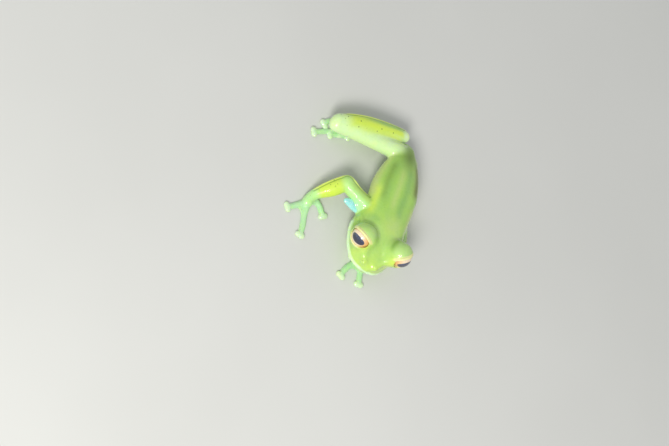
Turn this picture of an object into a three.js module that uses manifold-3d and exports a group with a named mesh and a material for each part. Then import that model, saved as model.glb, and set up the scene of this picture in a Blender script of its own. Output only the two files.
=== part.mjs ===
// A life-size glass frog at rest on a flat floor: a still model in separate, closed body parts.
// Millimetres. The frog faces -Y, its left side is +X and up is +Z.
// Points are first given from the spot on the floor under the tip of the snout, and the whole
// frog is then moved so that the origin is the middle of its footprint.
import * as THREE from "three";
import { mergeVertices } from "three/addons/utils/BufferGeometryUtils.js";
import Module from "manifold-3d";

const wasm = await Module();
wasm.setup();

// Driving sizes
const SNOUT = 0.65; // where the body begins and ends along its length
const VENT = 23.65;
const GAP = 0.3; // clear space between two neighbouring parts
const EYE_RADIUS = 1.5;
const EYE_CORNEA = 1.72; // reach of the eyeball along the line of sight
const EYE_BULGE = { radius: 2.1, behind: 0.25 }; // the lids and the bulge round the eye
const LID_OPENING = { halfLength: 1.5, halfHeight: 1.2, depth: 3 };
const LID_RIM = { radius: 0.18, outside: 0.08, proud: 0.02 };
const BROW = { at: [2.6, 4.7, 4.85], radii: [2.1, 2.5, 1.75] }; // the swelling that carries the bulge
const MOUTH = { lipRadius: 0.3, lipRise: 0.24, lipInset: 0.17, groove: 0.13, grooveRise: -0.12, corner: 6.9 };
const DIGIT_RADIUS = 0.42;
const DIGIT_HEIGHT = 0.28; // height of a finger's or toe's axis above the floor
const DISC = { halfWidth: 0.82, halfLength: 0.58, halfHeight: 0.32, sunk: 0.07 };
const WEB = { thickness: 0.5, hollow: 0.32 };
const HAND_WEB = [0.55, 0.5]; // share of each digit that the web reaches along
const FOOT_WEB = [0.72, 0.68, 0.66, 0.6, 0.72];

const v = (x, y, z) => new THREE.Vector3(x, y, z);
const UP = v(0, 0, 1);
const SIDES = { right: -1, left: 1 };

// Length stations of the body: distance along it, half width, and the heights of the
// back, of the widest level and of the belly.
const BODY_STATIONS = [
  { y: SNOUT, half: 0.75, top: 4.1, side: 3.1, belly: 2.35 },
  { y: 0.93, half: 1.55, top: 4.55, side: 2.9, belly: 2.05 },
  { y: 1.48, half: 2.35, top: 4.95, side: 2.7, belly: 1.85 },
  { y: 2.4, half: 3.1, top: 5.35, side: 2.5, belly: 1.7 },
  { y: 3.6, half: 3.74, top: 5.7, side: 2.38, belly: 1.62 },
  { y: 5.0, half: 4.2, top: 5.95, side: 2.35, belly: 1.58 },
  { y: 6.45, half: 4.44, top: 6.1, side: 2.4, belly: 1.55 },
  { y: 7.75, half: 4.38, top: 6.2, side: 2.65, belly: 1.52 },
  { y: 9.2, half: 4.05, top: 6.25, side: 3.2, belly: 1.5 },
  { y: 11.0, half: 3.98, top: 6.25, side: 3.6, belly: 1.5 },
  { y: 13.0, half: 4.0, top: 6.28, side: 3.65, belly: 1.5 },
  { y: 15.0, half: 3.76, top: 6.3, side: 3.6, belly: 1.52 },
  { y: 17.0, half: 3.22, top: 6.12, side: 3.55, belly: 1.6 },
  { y: 19.0, half: 2.58, top: 5.7, side: 3.5, belly: 1.75 },
  { y: 20.8, half: 1.94, top: 5.2, side: 3.5, belly: 1.95 },
  { y: 22.2, half: 1.5, top: 4.72, side: 3.4, belly: 2.1 },
  { y: 23.1, half: 1.15, top: 4.25, side: 3.3, belly: 2.4 },
  { y: VENT, half: 0.62, top: 3.75, side: 3.25, belly: 2.8 },
];
const NECK = 8.45; // where the head meets the trunk
const HEAD_TURN = { degrees: -1.3, pivot: 12.5, from: 14, to: 9 }; // towards the right side
const EYE = { x: 3.48, y: 4.48, z: 5.95, turn: 36, lift: 20, roll: 4 }; // angles in degrees
const NOSTRIL = { x: 1.1, y: 1.42, z: 4.72, mound: 0.36, pit: 0.14, facing: [0.75, -0.45, 0.35] };
const EAR = { x: 4.06, y: 7.2, z: 4.2, radius: 0.5, rim: 0.12, facing: [0.86, 0.1, 0.42] };
const EAR_FOLD = { path: [[3.3, 6.4, 5.1], [3.8, 7.3, 4.7], [4.08, 8.1, 4.15]], radii: [0.16, 0.2, 0.12] };

// Joints of each limb, as the bones' ends, with the limb's radius there.
const LIMBS = {
  right: {
    shoulder: [-3.1, 10.5, 3.6],
    armMiddle: [-5.9, 11.2, 3.65],
    elbow: [-8.1, 12.15, 3.5],
    wrist: [-11.5, 8.75, 1.15],
    palm: [-11.9, 7.6, 0.62],
    spineBase: [-4.8, 9.6, 3.2],
    spineBend: [-6.1, 9.5, 3.2],
    spineTip: [-7.4, 9.45, 3.4],
    fingers: [
      [[-11.1, 8.2], [-10.6, 9.4], [-10.1, 10.4]],
      [[-11.3, 8.1], [-9.7, 7.8], [-8.63, 6.7]],
      [[-11.75, 7.0], [-11.45, 4.9], [-11.1, 3.25], [-11.1, 1.75]],
      [[-12.2, 7.3], [-13.4, 6.05], [-14.85, 4.8]],
    ],
    hip: [-1.6, 21.85, 3.4],
    kneeEnd: [-12.8, 20.5, 2.8],
    kneeStart: [-12.6, 21.35, 3.1],
    heelEnd: [-1.25, 24.95, 2.95],
    heelStart: [-1.05, 25.0, 0.95],
    instep: [-7.1, 22.2, 0.62],
    toes: [
      [[-7.9, 22.0], [-8.6, 21.5], [-9.3, 20.9]],
      [[-8.2, 22.0], [-9.6, 21.4], [-10.9, 20.75]],
      [[-8.3, 22.1], [-10.4, 21.2], [-12.4, 19.95]],
      [[-8.4, 22.1], [-11.3, 20.9], [-14.8, 18.8]],
      [[-8.2, 22.2], [-11.2, 21.7], [-13.7, 20.75]],
    ],
  },
  left: {
    shoulder: [2.9, 10.8, 3.3],
    armMiddle: [4.25, 8.9, 2.2],
    elbow: [4.75, 6.7, 1.1],
    wrist: [1.35, 4.75, 0.68],
    palm: [0.45, 3.9, 0.6],
    spineBase: [3.2, 9.3, 1.7],
    spineBend: [2.8, 8.4, 1.1],
    spineTip: [2.7, 7.4, 0.75],
    fingers: [
      [[0.1, 4.6], [-0.6, 5.5], [-1.5, 6.1]],
      [[-0.1, 3.9], [-0.9, 4.0], [-1.75, 3.6]],
      [[-0.1, 3.1], [-1.26, 1.88], [-1.81, 0.96], [-2.23, -0.45]],
      [[0.6, 3.1], [0.78, 1.6], [0.98, 0.7], [1.15, -0.22]],
    ],
    hip: [0.8, 20.7, 2.9],
    kneeEnd: [3.6, 12.6, 2.4],
    kneeStart: [4.3, 12.4, 0.95],
    heelEnd: [2.3, 22.9, 0.95],
    heelStart: [1.1, 23.0, 0.66],
    instep: [0.95, 17.3, 0.62],
    toes: [
      [[0.5, 16.6], [-0.3, 15.6], [-1.2, 14.6]],
      [[0.6, 16.4], [-0.3, 14.5], [-1.3, 12.8]],
      [[0.8, 16.3], [0.2, 13.6], [-0.6, 11.0]],
      [[1.0, 16.3], [1.2, 12.8], [1.0, 9.2]],
      [[1.2, 16.5], [2.0, 14.0], [2.3, 11.2]],
    ],
  },
};
const ARM = { shoulder: 1.32, middle: 1.14, elbow: 1.15, forearm: 1.3, wrist: 0.84, palm: 0.88 };
const ARM_FORM = { swellAt: 0.4, flat: 0.92, palmFlat: 0.85, rootHeight: 0.5 };
const LEG = { hip: 1.45, thigh: 1.22, knee: 1.1, calf: 1.62, shin: 1.4, heel: 1.0 };
const FOOT = { ankle: 0.72, instep: 0.66, middle: 0.5, middleHeight: 0.4, rootHeight: 0.45 };
const LEG_FORM = { thighAt: 0.45, calfAt: 0.35, shinAt: 0.78 };
const HORN = { base: 1.05, bend: 0.68, tip: 0.2, flat: 0.62 };

// Materials, one for each finish
const finish = (color, roughness) => new THREE.MeshStandardMaterial({ color, roughness, metalness: 0 });
const SKIN = finish(0x9ccc3f, 0.35);
const PALE_SKIN = finish(0xbfe49a, 0.35);
const EYEBALL = finish(0x1c2033, 0.08);
const SPINE = finish(0x8fd8dc, 0.3);

// A closed geometry as a solid that can be joined and cut.
function solid(geometry, tolerance = 1e-4) {
  const bare = geometry.index ? geometry.toNonIndexed() : geometry.clone();
  bare.deleteAttribute("normal");
  bare.deleteAttribute("uv");
  const merged = mergeVertices(bare, tolerance);
  const mesh = new wasm.Mesh({
    numProp: 3,
    vertProperties: new Float32Array(merged.attributes.position.array),
    triVerts: new Uint32Array(merged.index.array),
  });
  return new wasm.Manifold(mesh);
}

const join = (solids) => solids.reduce((whole, next) => whole.add(next));

// The largest closed surface of a solid, so that no loose scrap is kept.
function largest(whole) {
  const pieces = whole.decompose();
  return pieces.reduce((best, next) => (next.volume() > best.volume() ? next : best));
}

function geometryOf(whole) {
  const mesh = whole.getMesh();
  return new THREE.BufferGeometry()
    .setAttribute("position", new THREE.BufferAttribute(new Float32Array(mesh.vertProperties), 3))
    .setIndex(new THREE.BufferAttribute(new Uint32Array(mesh.triVerts), 1));
}

// The finished surface in its place: slivers finer than the tolerance are closed up, and the scraps
// that they leave go.
function finished(whole, footprint) {
  const tolerance = 1e-3;
  const moved = geometryOf(whole).translate(-footprint.x, -footprint.y, 0);
  return geometryOf(largest(solid(moved, tolerance)));
}

// The middle of the floor area that all the solids cover together.
function footprintMiddle(solids) {
  const box = new THREE.Box3();
  for (const whole of solids) {
    const { min, max } = whole.boundingBox();
    box.expandByPoint(v(...min)).expandByPoint(v(...max));
  }
  return box.getCenter(new THREE.Vector3());
}

// A closed skin over rings of points that all turn the same way, with a fan at each end.
function loft(rings) {
  const count = rings[0].length;
  const points = rings.flat();
  const faces = [];
  for (let r = 0; r + 1 < rings.length; r++) {
    for (let i = 0; i < count; i++) {
      const a = r * count + i;
      const b = r * count + ((i + 1) % count);
      faces.push(a, b, b + count, a, b + count, a + count);
    }
  }
  for (const [ring, turn] of [[0, 1], [rings.length - 1, 0]]) {
    const middle = rings[ring].reduce((sum, p) => sum.add(p), v(0, 0, 0)).divideScalar(count);
    points.push(middle);
    for (let i = 0; i < count; i++) {
      const a = ring * count + i;
      const b = ring * count + ((i + 1) % count);
      faces.push(...(turn ? [points.length - 1, b, a] : [points.length - 1, a, b]));
    }
  }
  const geometry = new THREE.BufferGeometry().setFromPoints(points).setIndex(faces);
  const made = solid(geometry);
  if (made.volume() > 0) return made;
  const turned = geometry.clone().setIndex(faces.reverse());
  return solid(turned);
}

// One ring round a middle point, across the direction of travel.
function ring(middle, along, width, height, sides) {
  const across = new THREE.Vector3().crossVectors(along, UP);
  if (across.length() < 0.05) across.set(1, 0, 0);
  across.normalize();
  const over = new THREE.Vector3().crossVectors(across, along).normalize();
  return Array.from({ length: sides }, (_, i) => {
    const angle = (2 * Math.PI * (i + 0.5)) / sides;
    return middle
      .clone()
      .addScaledVector(across, width * Math.cos(angle))
      .addScaledVector(over, height * Math.sin(angle));
  });
}

// A limb with round ends through the given points, with a radius at each; flat squeezes its height.
function limb(points, radii, { sides = 12, steps = 3, flat = 1, grow = 0 } = {}) {
  const path = new THREE.CatmullRomCurve3(points.map((p) => v(...p)));
  const sizes = new THREE.CatmullRomCurve3(radii.map((r, i) => v(i, r, 0)));
  const total = steps * (points.length - 1);
  const rings = [];
  const add = (middle, along, radius) =>
    rings.push(ring(middle, along, radius, radius * flat, sides));
  const round = (end, outward, radius, angles) => {
    for (const angle of angles) {
      const reach = radius * Math.sin(angle);
      add(path.getPoint(end).addScaledVector(outward, reach), path.getTangent(end), radius * Math.cos(angle));
    }
  };
  const first = sizes.getPoint(0).y + grow;
  const last = sizes.getPoint(1).y + grow;
  const angles = [0.5, 1.05]; // of the rings on a round end
  round(0, path.getTangent(0).negate(), first, [...angles].reverse());
  for (let i = 0; i <= total; i++) {
    const t = i / total;
    add(path.getPoint(t), path.getTangent(t), sizes.getPoint(t).y + grow);
  }
  round(1, path.getTangent(1), last, angles);
  return loft(rings);
}

// A size of the body at a distance behind the snout, from a smooth curve through the stations.
const bodyCurves = ["half", "top", "side", "belly"].map((key) => [
  key,
  new THREE.SplineCurve(BODY_STATIONS.map((s) => new THREE.Vector2(s.y, s[key]))),
]);

function bodyAt(step) {
  const sizes = {};
  for (const [key, curve] of bodyCurves) {
    const point = curve.getPoint(step);
    sizes.y = point.x;
    sizes[key] = point.y;
  }
  return sizes;
}

// Body size at a given distance behind the snout.
function bodyAtLength(y) {
  let low = 0;
  let high = 1;
  for (let i = 0; i < 30; i++) {
    const middle = (low + high) / 2;
    if (bodyAt(middle).y < y) low = middle;
    else high = middle;
  }
  return bodyAt(low);
}

// The head is turned a little to one side: the turn at a distance behind the snout, in radians.
function headTurn(y) {
  const share = THREE.MathUtils.smoothstep(HEAD_TURN.from - y, 0, HEAD_TURN.from - HEAD_TURN.to);
  return THREE.MathUtils.degToRad(HEAD_TURN.degrees) * share;
}

// A point of the straight body, moved with the turn of the head.
function bent(point) {
  const pivot = v(0, HEAD_TURN.pivot, 0);
  return point.sub(pivot).applyAxisAngle(UP, headTurn(point.y + HEAD_TURN.pivot)).add(pivot);
}

// The whole body from snout to vent: rings that are fuller above than an ellipse and narrower below.
function bodySolid({ grow = 0, sides = 24, total = 28 } = {}) {
  const fullness = 0.86;
  const power = (value, exponent) => Math.sign(value) * Math.abs(value) ** exponent;
  const rings = [];
  for (let i = 0; i <= total; i++) {
    const size = bodyAt(i / total);
    rings.push(
      Array.from({ length: sides }, (_, k) => {
        const angle = (2 * Math.PI * k) / sides;
        const above = Math.sin(angle) >= 0;
        const rise = above ? size.top - size.side : size.side - size.belly;
        const x = (size.half + grow) * power(Math.cos(angle), fullness);
        const z = size.side + (rise + grow) * power(Math.sin(angle), above ? fullness : 1);
        return bent(v(x, size.y, z));
      }),
    );
  }
  return loft(rings);
}

const mirrored = ([x, y, z], side) => v(side * x, y, z);

const gaze = (side) => {
  const turn = THREE.MathUtils.degToRad(EYE.turn);
  const lift = THREE.MathUtils.degToRad(EYE.lift);
  return v(side * Math.sin(turn) * Math.cos(lift), -Math.cos(turn) * Math.cos(lift), Math.sin(lift));
};

const eyeMiddle = (side) => v(side * EYE.x, EYE.y, EYE.z);

// A geometry built about +Z, turned so that +Z becomes the direction with X level, moved to a point
// of the straight head and then turned with the head.
function placed(geometry, direction, point) {
  const outward = direction.clone().normalize();
  const level = new THREE.Vector3().crossVectors(UP, outward).normalize();
  const over = new THREE.Vector3().crossVectors(outward, level);
  const place = new THREE.Matrix4().makeBasis(level, over, outward).setPosition(point);
  return onHead(geometry.applyMatrix4(place));
}

// A shape in its place on the straight head, turned with the head.
function onHead(geometry) {
  const middle = HEAD_TURN.pivot;
  return solid(geometry.translate(0, -middle, 0).rotateZ(headTurn(0)).translate(0, middle, 0));
}

function eyeball(side, grow = 0) {
  const shape = new THREE.SphereGeometry(EYE_RADIUS + grow, 16, 10).rotateX(Math.PI / 2);
  shape.scale(1, 1, (EYE_CORNEA + grow) / (EYE_RADIUS + grow));
  return placed(shape, gaze(side), eyeMiddle(side));
}

// The bulge of the lids round the eye.
function eyeBulge(side) {
  const middle = eyeMiddle(side).addScaledVector(gaze(side), -EYE_BULGE.behind);
  const shape = new THREE.SphereGeometry(EYE_BULGE.radius, 16, 11).rotateX(Math.PI / 2);
  return placed(shape, gaze(side), middle);
}

function brow(side) {
  const shape = new THREE.SphereGeometry(1, 14, 8).rotateX(Math.PI / 2).scale(...BROW.radii);
  return onHead(shape.translate(...mirrored(BROW.at, side).toArray()));
}

// A shape about the line of sight, turned to the slant of the opening between the lids.
function acrossEye(side, shape) {
  shape.rotateZ(-side * THREE.MathUtils.degToRad(EYE.roll));
  return placed(shape, gaze(side), eyeMiddle(side));
}

function lidOpening(side) {
  const { halfLength, halfHeight, depth } = LID_OPENING;
  const shape = new THREE.CylinderGeometry(1, 1, depth, 16).rotateX(Math.PI / 2);
  return acrossEye(side, shape.scale(halfLength, halfHeight, 1).translate(0, 0, depth / 2));
}

// The margin of the lids, which runs round the opening on the surface of the bulge.
function lidRim(side) {
  const stepCount = 16;
  const points = Array.from({ length: stepCount + 1 }, (_, i) => {
    const angle = (2 * Math.PI * i) / stepCount;
    const x = (LID_OPENING.halfLength + LID_RIM.outside) * Math.cos(angle);
    const y = (LID_OPENING.halfHeight + LID_RIM.outside) * Math.sin(angle);
    const height = Math.sqrt(EYE_BULGE.radius ** 2 - x ** 2 - y ** 2) - EYE_BULGE.behind;
    return [x, y, height + LID_RIM.proud];
  });
  const loop = limb(points, points.map(() => LID_RIM.radius), { sides: 6, steps: 1 });
  return acrossEye(side, geometryOf(loop));
}

// Points along the edge of the mouth, from one jaw corner round the snout to the other.
function mouthPath(rise, inset) {
  const stepCount = 8;
  const crowding = 1.8; // how much closer the points lie round the snout
  const nearest = SNOUT + 0.08;
  const right = [];
  for (let i = 0; i < stepCount; i++) {
    const y = nearest + (MOUTH.corner - SNOUT) * (1 - i / stepCount) ** crowding;
    const size = bodyAtLength(y);
    right.push(v(-(size.half - inset), y, size.side + rise));
  }
  const left = right.map((p) => v(-p.x, p.y, p.z)).reverse();
  const tip = v(0, SNOUT + inset, BODY_STATIONS[0].side + rise);
  return [...right, tip, ...left].map((p) => bent(p).toArray());
}

function nostril(side) {
  const middle = v(side * NOSTRIL.x, NOSTRIL.y, NOSTRIL.z);
  const outward = mirrored(NOSTRIL.facing, side);
  const mound = placed(new THREE.SphereGeometry(NOSTRIL.mound, 8, 6), outward, middle);
  const pitMiddle = middle.clone().addScaledVector(outward.clone().normalize(), NOSTRIL.mound);
  const pit = placed(new THREE.SphereGeometry(NOSTRIL.pit, 6, 5), outward, pitMiddle);
  return { mound, pit };
}

// The ear disc behind the eye, and the fold of skin that runs over it to the shoulder.
function ear(side) {
  const middle = v(side * EAR.x, EAR.y, EAR.z);
  const ring = new THREE.TorusGeometry(EAR.radius, EAR.rim, 4, 12);
  const rim = placed(ring, mirrored(EAR.facing, side), middle);
  const foldPath = EAR_FOLD.path.map((p) => bent(mirrored(p, side)).toArray());
  return rim.add(limb(foldPath, EAR_FOLD.radii, { sides: 6, steps: 2 }));
}

function headSolid(body) {
  const both = Object.values(SIDES);
  const nostrils = both.map(nostril);
  const lipPath = mouthPath(MOUTH.lipRise, MOUTH.lipInset);
  const groovePath = mouthPath(MOUTH.grooveRise, 0.02);
  const lip = limb(lipPath, lipPath.map(() => MOUTH.lipRadius), { sides: 6, steps: 1, flat: 0.8 });
  const groove = limb(groovePath, groovePath.map(() => MOUTH.groove), { sides: 5, steps: 1 });
  const raised = join([
    body,
    lip,
    ...both.map(brow),
    ...both.map(eyeBulge),
    ...both.map(ear),
    ...nostrils.map((n) => n.mound),
  ]);
  const cut = join([groove, ...both.map(lidOpening), ...nostrils.map((n) => n.pit)]);
  const rimmed = raised.subtract(cut).add(join(both.map(lidRim)));
  return upTo(rimmed, neckPlane()).subtract(join(both.map((side) => eyeball(side, GAP))));
}

// The plane where the head meets the trunk, facing the head.
function neckPlane() {
  const normal = v(0, -1, 0).applyAxisAngle(UP, headTurn(NECK));
  return { normal, offset: normal.dot(bent(v(0, NECK, 0))) };
}

// The plane that halves the corner between two bones, as a normal towards the first and an offset.
function jointPlane(before, joint, after) {
  const back = v(...before).sub(v(...joint)).normalize();
  const on = v(...after).sub(v(...joint)).normalize();
  const normal = back.sub(on).normalize();
  return { normal, offset: normal.dot(v(...joint)) };
}

// A grown limb up to its joint, with the gap in front of it: the space its neighbour keeps clear of.
const clearSpace = (grown, plane) => upTo(grown, { ...plane, offset: plane.offset - GAP });

// The part of a solid on the first bone's side of a joint, or with beyond on the second's.
function upTo(whole, plane, beyond = false) {
  const sign = beyond ? -1 : 1;
  const normal = plane.normal.clone().multiplyScalar(sign);
  return whole.trimByPlane(normal.toArray(), plane.offset * sign + GAP / 2);
}

const aboveFloor = (whole) => whole.trimByPlane([0, 0, 1], 0);

function upperArm(at, grow = 0) {
  const radii = [ARM.shoulder, ARM.middle, ARM.elbow];
  return limb([at.shoulder, at.armMiddle, at.elbow], radii, { grow });
}

function forearm(at, grow = 0) {
  const swell = v(...at.elbow).lerp(v(...at.wrist), ARM_FORM.swellAt).toArray();
  const radii = [ARM.elbow, ARM.forearm, ARM.wrist, ARM.palm];
  return limb([at.elbow, swell, at.wrist, at.palm], radii, { flat: ARM_FORM.flat, grow });
}

// A finger or toe from its root to its tip along the floor, with the broad disc at the tip.
function digit(points, rootHeight) {
  const path = points.map(([x, y], i) => [x, y, i === 0 ? rootHeight : DIGIT_HEIGHT]);
  const radii = path.map((_, i) => DIGIT_RADIUS * (i === 0 ? 1.15 : 1));
  const tip = v(...path.at(-1));
  const ahead = tip.clone().sub(v(...path.at(-2))).setZ(0).normalize();
  const disc = new THREE.SphereGeometry(1, 9, 5)
    .scale(DISC.halfLength, DISC.halfWidth, DISC.halfHeight)
    .rotateZ(Math.atan2(ahead.y, ahead.x))
    .translate(tip.x, tip.y, DISC.halfHeight - DISC.sunk);
  return limb(path, radii, { sides: 6, steps: 2, flat: 0.9 }).add(solid(disc));
}

// The skin between neighbouring digits, reaching the given share of each, with hollowed edges.
function web(root, digits, reach) {
  const shape = new THREE.Shape();
  const pointOn = (points, share) => {
    const path = new THREE.CatmullRomCurve3(points.map(([x, y]) => v(x, y, 0)));
    return path.getPoint(share);
  };
  shape.moveTo(root[0], root[1]);
  digits.forEach((points, i) => {
    const here = pointOn(points, reach[i]);
    if (i === 0) {
      shape.lineTo(here.x, here.y);
      return;
    }
    const before = pointOn(digits[i - 1], reach[i - 1]);
    const middle = before.clone().add(here).multiplyScalar(0.5);
    const pulled = middle.lerp(v(root[0], root[1], 0), WEB.hollow);
    shape.quadraticCurveTo(pulled.x, pulled.y, here.x, here.y);
  });
  shape.closePath();
  const sheet = new THREE.ExtrudeGeometry(shape, {
    depth: WEB.thickness,
    bevelEnabled: false,
    curveSegments: 3,
  });
  return solid(sheet);
}

function handSolid(at) {
  const plane = jointPlane(at.elbow, at.wrist, at.palm);
  const palm = limb([at.wrist, at.palm], [ARM.wrist, ARM.palm], { flat: ARM_FORM.palmFlat });
  const outer = web(at.palm, at.fingers.slice(2), HAND_WEB);
  const digits = at.fingers.map((points) => digit(points, ARM_FORM.rootHeight));
  const whole = join([upTo(join([forearm(at), palm]), plane, true), ...digits, outer]);
  return largest(aboveFloor(whole.subtract(clearSpace(forearm(at, GAP), plane))));
}

function humeralSpine(at, bodyClear) {
  const points = [at.spineBase, at.spineBend, at.spineTip];
  const horn = limb(points, [HORN.base, HORN.bend, HORN.tip], { sides: 10, steps: 3, flat: HORN.flat });
  return largest(horn.subtract(upperArm(at, GAP)).subtract(forearm(at, GAP)).subtract(bodyClear));
}

function thigh(at, grow = 0) {
  const swell = v(...at.hip).lerp(v(...at.kneeEnd), LEG_FORM.thighAt).toArray();
  return limb([at.hip, swell, at.kneeEnd], [LEG.hip, LEG.thigh, LEG.knee], { grow });
}

function shank(at) {
  const swell = v(...at.kneeStart).lerp(v(...at.heelEnd), LEG_FORM.calfAt).toArray();
  const thin = v(...at.kneeStart).lerp(v(...at.heelEnd), LEG_FORM.shinAt).toArray();
  const points = [at.kneeStart, swell, thin, at.heelEnd];
  return limb(points, [LEG.knee * 0.96, LEG.calf, LEG.shin, LEG.heel]);
}

// The middle of the foot, on the way to the third toe.
const midfoot = (at) => [...at.toes[2][1], FOOT.middleHeight];

const tarsus = (at, grow = 0) => limb([at.heelStart, at.instep], [FOOT.ankle, FOOT.instep], { grow });

function footSolid(at) {
  const root = v(...at.heelStart).lerp(v(...at.instep), 0.94).toArray();
  const beyond = v(...at.instep).lerp(v(...midfoot(at)), 0.35).toArray();
  const instep = limb([root, at.instep, beyond], [FOOT.instep, FOOT.instep, FOOT.middle]);
  const skin = web(at.instep, at.toes, FOOT_WEB);
  const digits = at.toes.map((points) => digit(points, FOOT.rootHeight));
  const plane = jointPlane(at.heelStart, at.instep, midfoot(at));
  const whole = join([upTo(instep, plane, true), ...digits, skin]);
  return largest(aboveFloor(whole.subtract(clearSpace(tarsus(at, GAP), plane))));
}

// The parts of one side's limbs, each a closed solid, by name.
function limbParts(side, bodyClear) {
  const at = LIMBS[side];
  const elbow = jointPlane(at.armMiddle, at.elbow, at.wrist);
  const wrist = jointPlane(at.elbow, at.wrist, at.palm);
  const upper = upTo(upperArm(at), elbow).subtract(bodyClear);
  const lower = upTo(upTo(forearm(at), elbow, true), wrist);

  // The leg is folded, so the cut of the knee lies along the crease between thigh and shank.
  const knee = creasePlane(at.kneeEnd, at.hip, at.kneeStart, at.heelEnd);
  const heel = creasePlane(at.heelEnd, at.kneeStart, at.heelStart, at.instep);
  const ankle = jointPlane(at.heelStart, at.instep, midfoot(at));
  const kneeBall = ball(v(...at.kneeEnd).lerp(v(...at.kneeStart), 0.5), LEG.knee);
  const heelBall = ball(v(...at.heelEnd).lerp(v(...at.heelStart), 0.5), LEG.heel);
  return {
    [`upper_arm_${side}`]: [largest(aboveFloor(upper)), SKIN],
    [`forearm_${side}`]: [largest(aboveFloor(lower)), SKIN],
    [`hand_${side}`]: [handSolid(at), PALE_SKIN],
    [`humeral_spine_${side}`]: [humeralSpine(at, bodyClear), SPINE],
    [`thigh_${side}`]: [largest(upTo(thigh(at).add(kneeBall), knee)), SKIN],
    [`shank_${side}`]: [
      largest(aboveFloor(upTo(upTo(shank(at).add(kneeBall).add(heelBall), knee, true), heel))),
      SKIN,
    ],
    [`tarsus_${side}`]: [largest(aboveFloor(upTo(upTo(tarsus(at).add(heelBall), heel, true), ankle))), SKIN],
    [`foot_${side}`]: [footSolid(at), PALE_SKIN],
  };
}

const ball = (middle, radius) =>
  solid(new THREE.SphereGeometry(radius, 12, 8).translate(middle.x, middle.y, middle.z));

// The plane midway between two bones that are folded on each other, facing the first.
function creasePlane(end, from, start, to) {
  const first = v(...end);
  const second = v(...start);
  const bisector = v(...from).sub(first).normalize().add(v(...to).sub(second).normalize()).normalize();
  const between = first.clone().sub(second);
  const normal = between.addScaledVector(bisector, -between.dot(bisector)).normalize();
  return { normal, offset: normal.dot(first.lerp(second, 0.5)) };
}

// The trunk, with the soft flank giving way to the left leg that lies along it.
function torsoSolid(body) {
  const left = LIMBS.left;
  const pressed = thigh(left, GAP).add(ball(v(...left.kneeEnd), LEG.knee + GAP));
  return largest(upTo(body, neckPlane(), true).subtract(pressed));
}

function frogParts() {
  const body = bodySolid();
  const bodyClear = bodySolid({ grow: GAP });
  const parts = {};
  for (const side of Object.keys(SIDES)) Object.assign(parts, limbParts(side, bodyClear));
  parts.thigh_right[0] = largest(parts.thigh_right[0].subtract(bodyClear));

  parts.torso = [torsoSolid(body), SKIN];
  parts.upper_arm_left[0] = largest(parts.upper_arm_left[0].subtract(thigh(LIMBS.left, GAP)));
  const leftArm = upperArm(LIMBS.left, GAP).add(forearm(LIMBS.left, GAP));
  parts.head = [largest(headSolid(body).subtract(leftArm)), SKIN];
  for (const [name, side] of Object.entries(SIDES)) parts[`eye_${name}`] = [eyeball(side), EYEBALL];
  return parts;
}

const frog = new THREE.Group();
const parts = frogParts();
const footprint = footprintMiddle(Object.values(parts).map(([whole]) => whole));
for (const [name, [whole, material]] of Object.entries(parts)) {
  const mesh = new THREE.Mesh(finished(whole, footprint), material);
  mesh.name = name;
  frog.add(mesh);
}

export default frog;
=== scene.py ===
"""Looks of the life-size glass frog: one smooth skin over all the flesh, clear wet eyes and arm spines.

Sizes are in millimetres from the spot on the floor under the tip of the snout, with the snout
towards -Y, the frog's left side towards +X and up +Z, as far as the place where a mesh is made.
"""

import math

import bpy
import numpy as np
from mathutils import Matrix, Vector


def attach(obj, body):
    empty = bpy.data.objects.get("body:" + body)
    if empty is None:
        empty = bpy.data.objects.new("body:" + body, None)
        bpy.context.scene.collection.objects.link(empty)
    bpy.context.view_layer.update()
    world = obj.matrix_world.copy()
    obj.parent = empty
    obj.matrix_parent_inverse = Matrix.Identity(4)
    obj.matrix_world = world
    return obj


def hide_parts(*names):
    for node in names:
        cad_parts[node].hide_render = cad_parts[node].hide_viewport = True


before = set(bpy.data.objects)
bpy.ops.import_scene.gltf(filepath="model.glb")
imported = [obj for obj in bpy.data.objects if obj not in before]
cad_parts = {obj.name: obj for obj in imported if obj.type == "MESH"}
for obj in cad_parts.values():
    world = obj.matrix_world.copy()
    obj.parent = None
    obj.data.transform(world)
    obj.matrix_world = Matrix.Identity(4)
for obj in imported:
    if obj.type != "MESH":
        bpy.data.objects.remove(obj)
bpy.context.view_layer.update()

# Frame
MM = 0.001
FOOTPRINT = np.array([-4.83185, 12.46353, 0.0])  # the footprint's middle, which is the row's origin
SIDES = {"right": -1, "left": 1}
LIMB_PARTS = ("upper_arm_", "forearm_", "hand_", "thigh_", "shank_", "tarsus_", "foot_")

# The grid of distances: its two corners, its step, and the distance where nothing is near
GRID_LOW, GRID_HIGH = (-16.0, -1.6, -0.35), (6.4, 26.8, 8.5)
STEP = 0.07
SPINE_STEP = 0.06
FAR = 3.0

# Floor and camera, in metres
FLOOR_REACH = 1.5
FLOOR_GAP = 0.00002
CAMERA_AT = (-0.1503545, -0.1812224, 0.327465)
CAMERA_RIGHT = (0.79509, 0.30376, 0.52494)
CAMERA_AWAY = (0.37229, 0.43885, -0.81781)
SENSOR_MM, LENS_MM = 36, 138.925

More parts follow.
